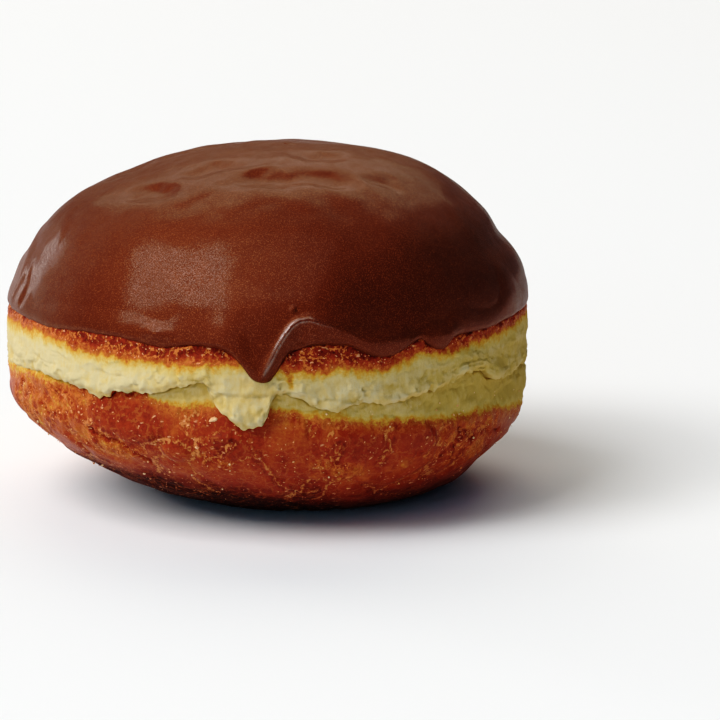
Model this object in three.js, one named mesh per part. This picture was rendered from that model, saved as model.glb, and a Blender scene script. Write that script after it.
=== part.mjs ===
// A round yeast-raised doughnut without a hole, standing on a small flat spot.
// The frame: millimetres, +Z up, origin on the floor under the middle of the waist.
// A bearing is an angle round the doughnut: 0 at the front (-Y), 90 at the right (+X).
// An arc is a distance along the profile, from the middle of the underside up to the crown.

import * as THREE from 'three';

// Whole shape
const WAIST_RADIUS = 46;
const HEIGHT = 60.9;
const REST_RADIUS = 19.4;
const BOWL_HEIGHT = 18.9;
const WAIST_TOP = 28.5;
const BOWL_ROUNDNESS = 1.58;
const DOME_ROUNDNESS = 2.24;
const REST_SHIFT = 6.7;
const CROWN_SHIFT = 3.1;
const SHIFT_FALLOFF = 1.5;
const WAIST_TILT = 0.9;

// Icing: its thickness, the gap to the dough under it, and its thicker, rounded edge
const ICING_THICKNESS = 1.4;
const ICING_GAP = 0.35;
const ICING_EDGE_HEIGHT = 33.9;
const ICING_BEAD = 0.45;
const BEAD_TOP = 1.8;
const BEAD_FADE = 4;
const EDGE_ROUNDING = 0.5;

// The dough turns in under the icing between these two distances from the icing's edge
const TURN_IN_BELOW = -0.9;
const TURN_IN_ABOVE = 1.6;

// Torn ring: the lip's height, how it stands out over the crease behind it, and the face
// above it, all in mm above or below the lip's lower edge
const SEAM_HEIGHT = 24.3;
const LIP_STANDS_OUT = 0.5;
const CREASE_DEEPER = 1.2;
const UNDERCUT_HEIGHT = 0.3;
const UNDERCUT_RISE = 0.36;
const LIP_EDGE_RISE = 0.5;
const LIP_EDGE_SETBACK = 0.15;
const LIP_FACE_RISE = 1.5;
const RING_TOP = 31;
const RING_TO_ICING = 1;

// The crust below the lip is set back behind it, and comes out again further down
const SETBACK_HEIGHT = 2.6;
const SETBACK_FADE = 11;
const SETBACK_BLEND = 9;

// Faceting
const COLUMNS = 108;
const PROFILE_STEPS = 360;
const UNDERSIDE_ROWS = 8;
const UNDERSIDE_CROWDING = 0.85;
const DOME_ROWS = 9;
const ICING_TOP_ROWS = 12;
const BLEND_SAMPLES = 9;
const TANGENT_REACH = 0.5;

// Lobes and drips along the icing's edge: bearing, half width in degrees, drop in mm
const ICING_LOBES = [
  [-65, 34, 0.7],
  [-1.2, 8, 5.8],
  [25, 8.5, 2.2],
  [39.3, 5.2, 2.0],
  [96, 14, 1.1],
  [121, 9, 2.6],
  [139, 7, 1.2],
  [163, 8, 4.2],
  [187, 12, 0.9],
  [213, 8, 2.4],
  [236, 10, 1.4],
  [252, 6, 2.1],
];

// Flaps of the lip, one after another round the waist: start bearing, rise at the start
// and at the end of the flap, and how far the crust below is set back from it, in mm
const LIP_FLAPS = [
  [-108, 0.3, -0.2, 0.0],
  [-80, -0.2, 0.1, 0.0],
  [-49, -0.5, -1.0, 0.7],
  [-35, 0.2, 0.6, 0.6],
  [-25, 1.0, 3.1, 1.3],
  [-12, -0.4, -4.2, 1.7],
  [-4, -4.2, -1.0, 1.7],
  [1.5, 1.6, 1.2, 1.2],
  [7, 0.4, -2.0, 1.1],
  [14.5, -2.0, -0.2, 1.1],
  [19, -0.2, -0.7, 1.0],
  [29, -0.5, 0.6, 1.0],
  [37, 0.8, 2.6, 1.2],
  [56, 0.0, 0.3, 1.2],
  [77, 0.1, -1.0, 0.5],
  [92, -0.6, 1.4, 0.6],
  [112, -0.9, 0.2, 1.3],
  [124, 1.2, -3.0, 1.5],
  [136, -3.0, -0.6, 1.5],
  [141, 1.0, 1.9, 1.1],
  [160, -0.2, -1.0, 0.8],
  [181, 0.8, 0.2, 0.4],
  [200, 0.1, 0.4, 0.9],
  [216, 0.9, 2.2, 1.3],
  [229, -1.8, 0.4, 1.1],
  [240, 0.4, 0.3, 0.4],
];
const FLAP_STEP = 1.6;

// Swellings and hollows of the whole side: bearing, height in mm, half width in degrees,
// half height in mm, stand-out in mm
const SWELLINGS = [
  [88, 39.5, 60, 7, 0.8],
  [90, 31.5, 50, 5, 0.4],
  [90, 46, 60, 3.5, -0.4],
  [80, 57.5, 60, 5, 0.7],
  [-88, 49, 60, 6, 0.5],
  [92, 20.5, 30, 4, 0.6],
  [84, 7, 42, 5.2, -1.2],
  [-80, 56.5, 60, 5, -0.5],
  [150, 40, 50, 14, -0.7],
  [205, 24, 50, 16, 0.5],
  [180, 50, 60, 10, 0.4],
];

// Hollows in the icing's top: x, y, half length, half width in mm, turn in degrees, depth
const TOP_DENTS = [
  [-19, -17, 9, 3.5, -38, 0.5],
  [-9, -12.5, 6.5, 3.5, 0, 0.4],
  [0.5, -21, 7.5, 4.5, 0, 0.6],
  [10, -20.5, 6.5, 3.5, 15, 0.5],
  [8.5, -10, 5.5, 3, 5, 0.4],
  [18, -19, 3.5, 2.2, 20, 0.3],
  [-10, 8, 11, 5, 25, 0.5],
  [17, 12, 12, 4, -30, 0.6],
  [-24, 6, 8, 5, 60, 0.5],
  [4, 25, 10, 5, 10, 0.5],
];

const toRadians = THREE.MathUtils.degToRad;
const { lerp, smoothstep, euclideanModulo } = THREE.MathUtils;

// Distance in degrees from one bearing to another, between -180 and 180
function bearingGap(bearing, from) {
  return euclideanModulo(bearing - from + 180, 360) - 180;
}

// A rounded hump: 1 in the middle, 0 from one half width away
function hump(distance, halfWidth) {
  const share = Math.min(Math.abs(distance) / halfWidth, 1);
  return 0.5 + 0.5 * Math.cos(Math.PI * share);
}

// The side's outline, with its arc lengths and outward normals
function makeProfile() {
  const points = [new THREE.Vector2(0, 0)];
  for (let i = 0; i <= PROFILE_STEPS; i++) {
    const turn = (i / PROFILE_STEPS) * Math.PI / 2;
    const out = Math.sin(turn) ** (2 / BOWL_ROUNDNESS);
    const up = 1 - Math.cos(turn) ** (2 / BOWL_ROUNDNESS);
    points.push(new THREE.Vector2(lerp(REST_RADIUS, WAIST_RADIUS, out), BOWL_HEIGHT * up));
  }
  for (let i = 0; i <= PROFILE_STEPS; i++) {
    const turn = (i / PROFILE_STEPS) * Math.PI / 2;
    const out = Math.cos(turn) ** (2 / DOME_ROUNDNESS);
    const up = Math.sin(turn) ** (2 / DOME_ROUNDNESS);
    points.push(new THREE.Vector2(WAIST_RADIUS * out, lerp(WAIST_TOP, HEIGHT, up)));
  }
  const arcs = [0];
  for (let i = 1; i < points.length; i++) {
    arcs.push(arcs[i - 1] + points[i].distanceTo(points[i - 1]));
  }
  return { points, arcs };
}

const profile = makeProfile();
const CROWN_ARC = profile.arcs.at(-1);
const REST_ARC = REST_RADIUS;

// Where a share of the way between two entries of a rising list meets a value
function locate(values, value) {
  let low = 0;
  let high = values.length - 1;
  while (high - low > 1) {
    const middle = (low + high) >> 1;
    if (values[middle] > value) high = middle;
    else low = middle;
  }
  const share = (value - values[low]) / (values[high] - values[low]);
  return [low, THREE.MathUtils.clamp(share, 0, 1)];
}

function profileAt(arc) {
  const [index, share] = locate(profile.arcs, arc);
  return profile.points[index].clone().lerp(profile.points[index + 1], share);
}

const heights = profile.points.map((point, i) => point.y + i * 1e-9);

function arcAtHeight(height) {
  const [index, share] = locate(heights, height);
  return lerp(profile.arcs[index], profile.arcs[index + 1], share);
}

// Height of the icing's lower edge
function icingEdge(bearing) {
  let height = ICING_EDGE_HEIGHT;
  for (const [at, halfWidth, drop] of ICING_LOBES) {
    height -= drop * hump(bearingGap(bearing, at), halfWidth);
  }
  return height;
}

// Height of the torn lip's lower edge, and how far the crust below it is set back
function lip(bearing) {
  const last = LIP_FLAPS.length - 1;
  let rise = 0;
  let setback = 0;
  for (let i = 0; i <= last; i++) {
    const [start, riseAtStart, riseAtEnd, depth] = LIP_FLAPS[i];
    const end = i < last ? LIP_FLAPS[i + 1][0] : LIP_FLAPS[0][0] + 360;
    const middle = (start + end) / 2;
    const away = Math.abs(bearingGap(bearing, middle)) - (end - start) / 2;
    const weight = 1 - smoothstep(away, -FLAP_STEP / 2, FLAP_STEP / 2);
    const along = THREE.MathUtils.clamp(0.5 + bearingGap(bearing, middle) / (end - start), 0, 1);
    rise += weight * lerp(riseAtStart, riseAtEnd, along);
    setback += weight * depth;
  }
  return { height: SEAM_HEIGHT + rise, setback };
}

// The set-back blended over the neighbouring flaps, as the lower crust runs on behind them
function blendedSetback(bearing) {
  let sum = 0;
  for (let i = 0; i < BLEND_SAMPLES; i++) {
    const share = lerp(-1, 1, i / (BLEND_SAMPLES - 1));
    sum += lip(bearing + share * SETBACK_BLEND).setback;
  }
  return sum / BLEND_SAMPLES;
}

// How far the whole side stands out from a plain round one
function swelling(bearing, height) {
  let out = 0;
  for (const [at, middle, halfWidth, halfHeight, standOut] of SWELLINGS) {
    const across = hump(bearingGap(bearing, at), halfWidth);
    out += standOut * across * hump(height - middle, halfHeight);
  }
  return out;
}

// The point at a bearing and an arc, lifted off the plain profile along its normal
function place(bearing, arc, lift, target) {
  const point = profileAt(arc);
  const along = profileAt(Math.min(arc + TANGENT_REACH, CROWN_ARC));
  along.sub(profileAt(Math.max(arc - TANGENT_REACH, 0))).normalize();
  const flatEnds = arc <= REST_ARC + 1e-6 || point.y < 1e-6;
  const out = flatEnds ? 0 : lift + swelling(bearing, point.y);
  const radius = point.x + along.y * out;
  const height = point.y - along.x * out;
  const nearRest = Math.max(1 - height / BOWL_HEIGHT, 0) ** SHIFT_FALLOFF;
  const nearCrown = Math.max((height - WAIST_TOP) / (HEIGHT - WAIST_TOP), 0) ** SHIFT_FALLOFF;
  const turn = toRadians(bearing);
  const x = radius * Math.sin(turn) + REST_SHIFT * nearRest + CROWN_SHIFT * nearCrown;
  const upTheSide = (Math.PI * Math.min(height, HEIGHT)) / HEIGHT;
  const sag = WAIST_TILT * (x / WAIST_RADIUS) * Math.sin(upTheSide);
  return target.set(x, -radius * Math.cos(turn), flatEnds ? 0 : height - sag);
}

// Depth of the icing's hollows at a place seen from above
function topDent(x, y) {
  let depth = 0;
  for (const [atX, atY, halfLength, halfWidth, turn, deep] of TOP_DENTS) {
    const cos = Math.cos(toRadians(turn));
    const sin = Math.sin(toRadians(turn));
    const along = (x - atX) * cos + (y - atY) * sin;
    const across = (y - atY) * cos - (x - atX) * sin;
    depth += deep * hump(Math.hypot(along / halfLength, across / halfWidth), 1);
  }
  return depth;
}

// How far the dough lies below the plain profile under the icing
function doughUnderIcing(bearing, height) {
  const above = height - icingEdge(bearing);
  return -(ICING_THICKNESS + ICING_GAP) * smoothstep(above, TURN_IN_BELOW, TURN_IN_ABOVE);
}

// Rows of arcs from just after one arc up to another one, which is the last row
function rowsBetween(count, from, to, ease = 1) {
  const rows = [];
  for (let i = 1; i <= count; i++) {
    rows.push((bearing) => lerp(from(bearing), to(bearing), (i / count) ** ease));
  }
  return rows;
}

// A closed skin through rows of rings, the first and last row being its two ends
function skin(name, rows, material) {
  const outline = rows.map((row, i) => new THREE.Vector2(i % (rows.length - 1) ? 1 : 0, i));
  const geometry = new THREE.LatheGeometry(outline, COLUMNS);
  const position = geometry.getAttribute('position');
  const point = new THREE.Vector3();
  for (let column = 0; column <= COLUMNS; column++) {
    const bearing = ((column % COLUMNS) + 0.5) * (360 / COLUMNS);
    rows.forEach((row, i) => {
      const end = i === 0 || i === rows.length - 1;
      row(end ? 0 : bearing, point);
      position.setXYZ(column * rows.length + i, point.x, point.y, point.z);
    });
  }
  geometry.computeVertexNormals();
  const mesh = new THREE.Mesh(geometry, material);
  mesh.name = name;
  return mesh;
}

// Dome rows shared by the dough's top and the icing's underside
const domeStart = (bearing) => arcAtHeight(icingEdge(bearing) + BEAD_TOP);
const domeRows = rowsBetween(DOME_ROWS, domeStart, () => CROWN_ARC);

// Adds one ring of points to a skin's rows, at an arc and a lift that vary with the bearing
function addRing(rows, arcOf, liftOf) {
  rows.push((bearing, point) => {
    const arc = arcOf(bearing);
    place(bearing, arc, liftOf(bearing, arc), point);
  });
}

const unlifted = () => 0;

// Crust and crumb: one solid from the flat spot up to the crown under the icing
function makeDough() {
  const rows = [];
  addRing(rows, () => 0, unlifted);
  addRing(rows, () => REST_ARC, unlifted);

  // Underside, from the flat spot up to where the torn ring begins
  const setbackStart = (bearing) => arcAtHeight(lip(bearing).height - SETBACK_HEIGHT);
  const setBack = (bearing, arc) => {
    const depth = SEAM_HEIGHT - profileAt(arc).y;
    return -blendedSetback(bearing) * (1 - smoothstep(depth, 0, SETBACK_FADE));
  };
  const underside = rowsBetween(UNDERSIDE_ROWS, () => REST_ARC, setbackStart, UNDERSIDE_CROWDING);
  for (const arcOf of underside) addRing(rows, arcOf, setBack);

  // Torn ring: the crease behind the lip, the undercut, the lip's edge and its face
  const aboveLip = (rise) => (bearing) => arcAtHeight(lip(bearing).height + rise);
  const torn = (bearing) => Math.min(lip(bearing).setback, 1);
  addRing(rows, aboveLip(0), (bearing) => -CREASE_DEEPER * lip(bearing).setback);
  const undercut = (bearing) => aboveLip(UNDERCUT_HEIGHT + UNDERCUT_RISE * torn(bearing))(bearing);
  addRing(rows, undercut, (bearing) => -lip(bearing).setback);
  addRing(rows, aboveLip(LIP_EDGE_RISE), (bearing) => -LIP_EDGE_SETBACK * lip(bearing).setback);
  const lipFace = aboveLip(LIP_FACE_RISE);
  addRing(rows, lipFace, (bearing) => LIP_STANDS_OUT * torn(bearing));

  // Pale upper ring, the crust above it and the turn in under the icing
  const ringTop = (bearing) => {
    return arcAtHeight(Math.min(icingEdge(bearing) - RING_TO_ICING, RING_TOP));
  };
  const underIcing = (bearing, arc) => doughUnderIcing(bearing, profileAt(arc).y);
  addRing(rows, (bearing) => (lipFace(bearing) + ringTop(bearing)) / 2, unlifted);
  addRing(rows, ringTop, underIcing);
  addRing(rows, (bearing) => arcAtHeight(icingEdge(bearing)), underIcing);
  addRing(rows, domeStart, underIcing);
  for (const arcOf of domeRows) addRing(rows, arcOf, underIcing);

  const material = new THREE.MeshStandardMaterial({
    color: 0xb0682e,
    roughness: 0.75,
    metalness: 0,
  });
  return skin('dough', rows, material);
}

// Icing: a thin cap with a rounded, wavy edge
function makeIcing() {
  const rows = [];

  // Underside, from the crown down to the edge
  const inside = (bearing, arc) => doughUnderIcing(bearing, profileAt(arc).y) + ICING_GAP;
  for (const arcOf of domeRows.toReversed()) addRing(rows, arcOf, inside);
  addRing(rows, domeStart, inside);

  // Rounded edge, hanging a little thicker than the rest
  const aboveEdge = (rise) => (bearing) => arcAtHeight(icingEdge(bearing) + rise);
  addRing(rows, aboveEdge(EDGE_ROUNDING), inside);
  addRing(rows, aboveEdge(0), (bearing, arc) => inside(bearing, arc) + ICING_GAP);
  addRing(rows, aboveEdge(EDGE_ROUNDING), () => ICING_BEAD);
  addRing(rows, aboveEdge(BEAD_TOP), () => ICING_BEAD);

  // Outer side, with shallow hollows near the top
  const outerStart = aboveEdge(BEAD_FADE);
  const dented = (bearing, arc) => {
    const point = place(bearing, arc, 0, new THREE.Vector3());
    return -topDent(point.x, point.y);
  };
  addRing(rows, outerStart, unlifted);
  for (const arcOf of rowsBetween(ICING_TOP_ROWS, outerStart, () => CROWN_ARC)) {
    addRing(rows, arcOf, dented);
  }

  const material = new THREE.MeshStandardMaterial({
    color: 0x3e1a10,
    roughness: 0.35,
    metalness: 0,
  });
  return skin('icing', rows, material);
}

const doughnut = new THREE.Group();
doughnut.add(makeDough(), makeIcing());

export default doughnut;
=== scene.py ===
import random
from bisect import bisect_right
from functools import partial, reduce
from math import cos, dist, exp, hypot, pi, radians, sin, tan

import bmesh
import bpy
from mathutils import Matrix, Vector, noise


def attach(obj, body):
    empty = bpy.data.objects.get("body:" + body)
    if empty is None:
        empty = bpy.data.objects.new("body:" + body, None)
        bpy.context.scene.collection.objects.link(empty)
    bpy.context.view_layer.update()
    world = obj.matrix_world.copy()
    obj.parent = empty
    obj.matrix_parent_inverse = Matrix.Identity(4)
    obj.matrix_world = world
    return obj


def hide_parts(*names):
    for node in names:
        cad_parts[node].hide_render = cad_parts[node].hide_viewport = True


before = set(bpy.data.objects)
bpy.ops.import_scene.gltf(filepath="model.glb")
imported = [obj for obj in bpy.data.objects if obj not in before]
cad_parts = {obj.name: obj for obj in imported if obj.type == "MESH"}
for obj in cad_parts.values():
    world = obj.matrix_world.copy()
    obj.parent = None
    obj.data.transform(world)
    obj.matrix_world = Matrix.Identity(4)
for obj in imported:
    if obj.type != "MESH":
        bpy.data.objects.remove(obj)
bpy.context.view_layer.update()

# Dough.
# One ball of yeast dough, proved and fried floating, so that its two browned halves meet
# in a pale waist. The waist has torn: the upper half's lip hangs in flaps over the crust
# below, which is set back behind it.
# Lengths are in millimetres. A bearing is an angle round the doughnut in degrees, 0 at the
# front (-Y) and 90 at the right (+X). An arc is a distance up the profile from underneath.

# The relief is drawn from one seed, so that the doughnut comes out the same every time
RELIEF_SEED = 4
noise.seed_set(RELIEF_SEED)
MM = 0.001
WAIST_RADIUS = 46.0
HEIGHT = 60.9
REST_RADIUS = 19.4
BOWL_HEIGHT = 18.9
WAIST_TOP = 28.5
BOWL_ROUNDNESS = 1.58
DOME_ROUNDNESS = 2.24
REST_SHIFT = 6.7
CROWN_SHIFT = 3.1
SHIFT_FALLOFF = 1.5
WAIST_TILT = 0.9

SEAM_HEIGHT = 24.3
SETBACK_FADE = 11.0
SETBACK_BLEND = 9.0
LIP_STANDS_OUT = 0.5

ICING_THICKNESS = 1.4

# The icing's lower edge, with its lobes and drips: bearing, height
ICING_EDGE = [
    (-95, 32.7), (-82, 32.8), (-69, 33.2), (-57, 33), (-50, 33.3), (-42, 33.7), (-34, 33.9),
    (-28, 33.3), (-22, 32.9), (-17, 33.6), (-12.5, 33.7), (-9.5, 33.3), (-7, 32.2), (-5, 30.4),
    (-3.5, 28.9), (-2.2, 28.2), (-0.7, 27.9), (0.8, 28.4), (2.1, 29.9), (3.2, 31.7), (4.4, 33),
    (6.5, 33.6), (10, 34.1), (14, 34.2), (17, 33.9), (19.5, 32.8), (22, 32), (25, 31.7), (28, 32.1),
    (31.5, 33.3), (34, 33.9), (36, 32.9), (38.5, 32), (40.5, 32), (42.5, 33.2), (45, 33.7),
    (56, 33.9), (70, 34.3), (87, 34), (96, 32.8), (107, 33.7), (114, 33), (121, 31.3), (127, 33),
    (132, 33.3), (139, 32.7), (146, 33.6), (153, 33.7), (158, 31.7), (162, 29.6), (165, 29.5),
    (169, 31.8), (174, 33.5), (187, 33), (200, 33.9), (207, 32.6), (213, 31.4), (219, 32.7),
    (226, 33.6), (236, 32.5), (246, 33.4), (252, 31.7), (258, 33.7),
]

# The torn lip's lower edge: bearing, height, set-back of the crust below it
LIP_EDGE = [
    (-108, 24.4, 0), (-85, 23, 0.1), (-71, 24, 0.1), (-57, 24.7, 0.2), (-50, 24.4, 0.5),
    (-47, 24.6, 0.8), (-43, 23.8, 0.8), (-38, 23.5, 0.8), (-35.5, 23.2, 0.7), (-34.3, 24.5, 0.6),
    (-25, 24.8, 0.8), (-23, 25.6, 1.2), (-17, 26.8, 1.4), (-13, 27.5, 1.6), (-11.7, 25.4, 1.7),
    (-10.5, 23.6, 1.7), (-8.8, 22.3, 1.7), (-6.4, 20.4, 1.7), (-4.8, 19.9, 1.7), (-3.2, 20.1, 1.7),
    (-1, 20.9, 1.7), (0, 22.2, 1.6), (0.9, 24.6, 1.5), (2, 26, 1.3), (4, 25.7, 1.2), (7, 25.1, 1.1),
    (9.5, 23.8, 1.1), (13, 23, 1.1), (14.5, 22.6, 1.1), (17.5, 23.7, 1.1), (20, 24.2, 1),
    (27, 23.6, 1), (33.5, 24.3, 1.1), (36.5, 25, 1.2), (43, 25.7, 1.2), (47.5, 26.9, 1.3),
    (54, 26.8, 1.3), (57.5, 24.3, 1.1), (72, 24.5, 0.8), (85, 23.4, 0.5), (92, 23.7, 0.6),
    (111, 25.6, 0.8), (113, 23.5, 1.3), (123.5, 24.4, 1.4), (125, 25.4, 1.5), (130, 23.6, 1.5),
    (136, 21.4, 1.5), (138, 23.7, 1.3), (141, 25.3, 1.1), (150, 26, 1.1), (159, 26.2, 1),
    (161, 24.2, 0.8), (180, 23.4, 0.6), (183, 25, 0.4), (200, 24.5, 0.6), (216, 24.7, 1.1),
    (222, 25.8, 1.3), (228, 26.5, 1.3), (230, 22.6, 1.2), (235, 23.6, 1), (240, 24.7, 0.6),
]

# Swellings of the whole side: bearing, height, half width in degrees, half height, stand-out
SWELLINGS = [
    (88, 39.5, 60, 7, 0.8), (90, 31.5, 50, 5, 0.4), (90, 46, 60, 3.5, -0.4), (80, 57.5, 60, 5, 0.7),
    (-88, 49, 60, 6, 0.5), (92, 20.5, 30, 4, 0.6), (84, 7, 42, 5.2, -1.2), (-80, 56.5, 60, 5, -0.5),
    (150, 40, 50, 14, -0.7), (205, 24, 50, 16, 0.5), (180, 50, 60, 10, 0.4),
]

# Height where the crust below the lip turns from pale to brown: bearing, height
LOWER_BROWNING = [
    (-110, 23.4), (-85, 22.3), (-71, 23.5), (-57, 24.2), (-49, 24.6), (-45, 25.4), (-36, 25.6),
    (-27, 25.4), (-24, 24.1), (-20, 23.7), (-12, 23.8), (-9, 24.4), (-2, 24.4), (2, 23.2),
    (7, 22.6), (17.5, 21.7), (30, 20.4), (36, 20.2), (45, 19.5), (57, 19.7), (64, 18.7), (80, 16.6),
    (95, 15.6), (112, 18), (132, 20.5), (150, 22.4), (180, 23.4), (205, 22.6), (222, 20.6),
    (236, 22.8),
]

# Height where the crust above the waist begins to brown: bearing, height
UPPER_BROWNING = [
    (-105, 29.8), (-85, 30.2), (-63, 31.4), (-50, 31.2), (-45, 30.6), (-35, 30.2), (-12, 30.2),
    (-5, 30.8), (2.5, 29.8), (11, 29.4), (14, 30.2), (22, 29.3), (30, 30.5), (33, 31.6), (40, 31),
    (52, 31.8), (63, 32.2), (74, 32.9), (95, 31.6), (120, 30), (150, 30.8), (190, 31.2),
    (225, 30.2),
]


def clamp(value):
    return min(max(value, 0.0), 1.0)


def mix(low, high, share):
    return low + (high - low) * share


def smoothstep(value, low, high):
    share = clamp((value - low) / (high - low))
    return share * share * (3 - 2 * share)


def bearing_gap(bearing, start):
    """Degrees from one bearing to another, from -180 to 180."""
    return (bearing - start + 180) % 360 - 180


def hump(distance, half_width):
    """1 in the middle, falling to 0 one half width away."""
    return 0.5 + 0.5 * cos(pi * min(abs(distance) / half_width, 1))


def round_the_waist(stops, bearing, rounded=True):
    """The values of a list of stops at one bearing, joined by curves or by straight lines."""
    starts = [stop[0] for stop in stops]
    turned = starts[0] + (bearing - starts[0]) % 360
    index = bisect_right(starts, turned) - 1
    near = []
    for i in range(index - 1, index + 3):
        turns = 360 * (i // len(stops))
        near.append((stops[i % len(stops)][0] + turns, *stops[i % len(stops)][1:]))
    before, low, high, after = near
    span = high[0] - low[0]
    share = (turned - low[0]) / span
    values = []
    for i in range(1, len(low)):
        value = mix(low[i], high[i], share)
        if rounded:
            slope_low = (high[i] - before[i]) / (high[0] - before[0]) * span
            slope_high = (after[i] - low[i]) / (after[0] - low[0]) * span
            rise = high[i] - low[i]
            value += share * (1 - share) ** 2 * (slope_low - rise)
            value -= share ** 2 * (1 - share) * (slope_high - rise)
        values.append(value)
    return values


def side_profile(steps=360):
    """The side's outline, in equal steps up it, as radius, height and the way out."""
    points = [(0.0, 0.0)]
    for i in range(steps + 1):
        turn = i / steps * pi / 2
        out = sin(turn) ** (2 / BOWL_ROUNDNESS)
        up = 1 - cos(turn) ** (2 / BOWL_ROUNDNESS) if i < steps else 1.0
        points.append((mix(REST_RADIUS, WAIST_RADIUS, out), BOWL_HEIGHT * up))
    for i in range(steps + 1):
        turn = i / steps * pi / 2
        out = cos(turn) ** (2 / DOME_ROUNDNESS) if i < steps else 0.0
        up = sin(turn) ** (2 / DOME_ROUNDNESS)
        points.append((WAIST_RADIUS * out, mix(WAIST_TOP, HEIGHT, up)))
    even = []
    arc = 0.0
    for near, far in zip(points, points[1:]):
        length = dist(near, far)
        while len(even) * PROFILE_STEP < arc + length:
            share = (len(even) * PROFILE_STEP - arc) / length
            even.append((mix(near[0], far[0], share), mix(near[1], far[1], share)))
        arc += length
    outline = []
    for i, (radius, height) in enumerate(even):
        near = even[max(i - 4, 0)]
        far = even[min(i + 4, len(even) - 1)]
        length = dist(near, far)
        way_out = (far[1] - near[1]) / length, (near[0] - far[0]) / length
        outline.append((radius, height, *way_out))
    return outline


PROFILE_STEP = 0.1
OUTLINE = side_profile()
HEIGHTS = [point[1] + i * 1e-9 for i, point in enumerate(OUTLINE)]
REST_ARC = REST_RADIUS
CROWN_ARC = (len(OUTLINE) - 1) * PROFILE_STEP


def profile_at(arc):
    """Radius, height and the way out of the side at an arc."""
    index = min(int(arc / PROFILE_STEP), len(OUTLINE) - 2)
    share = arc / PROFILE_STEP - index
    return [mix(low, high, share) for low, high in zip(OUTLINE[index], OUTLINE[index + 1])]


def arc_at_height(height):
    index = min(max(bisect_right(HEIGHTS, height) - 1, 0), len(HEIGHTS) - 2)
    step = HEIGHTS[index + 1] - HEIGHTS[index]
    return (index + clamp((height - HEIGHTS[index]) / step)) * PROFILE_STEP


def swelling(bearing, height):
    out = 0.0
    for at, middle, half_width, half_height, stand_out in SWELLINGS:
        if abs(height - middle) < half_height:
            across = hump(bearing_gap(bearing, at), half_width)
            out += stand_out * across * hump(height - middle, half_height)
    return out


FRONT_CROWDING = 20.0


def bearing_of(column, columns):
    """Bearing of a column of points, which stand closest together at the front."""
    turn = column * 360 / columns
    return turn - FRONT_CROWDING * sin(radians(turn))


def place(bearing, arc, lift=0.0):
    """The point at a bearing and an arc, lifted off the plain side along the way out."""
    radius, height, out, up = profile_at(arc)
    if arc > REST_ARC + 1e-6:
        lift += swelling(bearing, height)
        radius += out * lift
        height += up * lift
    near_rest = max(1 - height / BOWL_HEIGHT, 0) ** SHIFT_FALLOFF
    near_crown = max((height - WAIST_TOP) / (HEIGHT - WAIST_TOP), 0) ** SHIFT_FALLOFF
    turn = radians(bearing)
    x = radius * sin(turn) + REST_SHIFT * near_rest + CROWN_SHIFT * near_crown
    sag = WAIST_TILT * x / WAIST_RADIUS * sin(pi * min(height, HEIGHT) / HEIGHT)
    return Vector((x, -radius * cos(turn), height - (sag if arc > REST_ARC else 0.0)))


def way_out(bearing, arc):
    out, up = profile_at(arc)[2:]
    turn = radians(bearing)
    return Vector((out * sin(turn), -out * cos(turn), up))


def blended_setback(bearing):
    """Set-back of the crust well below the lip, evened out over a few bearings."""
    near = [bearing + share * SETBACK_BLEND / 4 for share in range(-4, 5)]
    return sum(round_the_waist(LIP_EDGE, at, rounded=False)[1] for at in near) / len(near)


def wrapped_sheet(rows, columns):
    """A sheet with a row of points for each ring of a shell, ready to be wrapped round."""
    sheet = bmesh.new()
    bmesh.ops.create_grid(sheet, x_segments=columns, y_segments=rows - 1, size=1)
    return sheet


def column_and_row(vert, rows, columns):
    across = round((vert.co.x + 1) / 2 * columns)
    return across % columns, round((vert.co.y + 1) / 2 * (rows - 1))


def add_object(name, data):
    thing = bpy.data.objects.new(name, data)
    bpy.context.scene.collection.objects.link(thing)
    return thing


def finished_piece(name, shell, material):
    """Closes a shaped bmesh in millimetres and makes it a smooth object in metres."""
    bmesh.ops.remove_doubles(shell, verts=shell.verts[:], dist=1e-4)
    bmesh.ops.scale(shell, vec=(MM, MM, MM), verts=shell.verts[:])
    bmesh.ops.recalc_face_normals(shell, faces=shell.faces[:])
    mesh = bpy.data.meshes.new(name)
    shell.to_mesh(mesh)
    shell.free()
    mesh.shade_smooth()
    mesh.materials.append(material)
    piece = add_object(name, mesh)
    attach(piece, "root")
    return piece


def relief(point, size, detail=0.0):
    """Smooth noise from -1 to 1 whose bumps are about one size across."""
    return noise.noise(point / size + Vector((detail, 0, 0)))


DOUGH_COLUMNS = 720
BOWL_ROWS = 62
BOWL_CROWDING = 0.85
BEHIND_LIP_ROWS = 14
LIP_ROWS = 5
RING_ROWS = 31
CRUST_ROWS = 16
HIDDEN_ROWS = 5
DOUGH_ROWS = 2 + BOWL_ROWS + BEHIND_LIP_ROWS + LIP_ROWS + RING_ROWS + CRUST_ROWS + HIDDEN_ROWS
BEHIND_LIP_HEIGHT = 2.8
RING_TOP = 31.0
CRUST_TOP = 34.8
UNDERCUT = 0.5
CLEFT_DEPTH = 0.8
UNDER_ICING = 1.5

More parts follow.
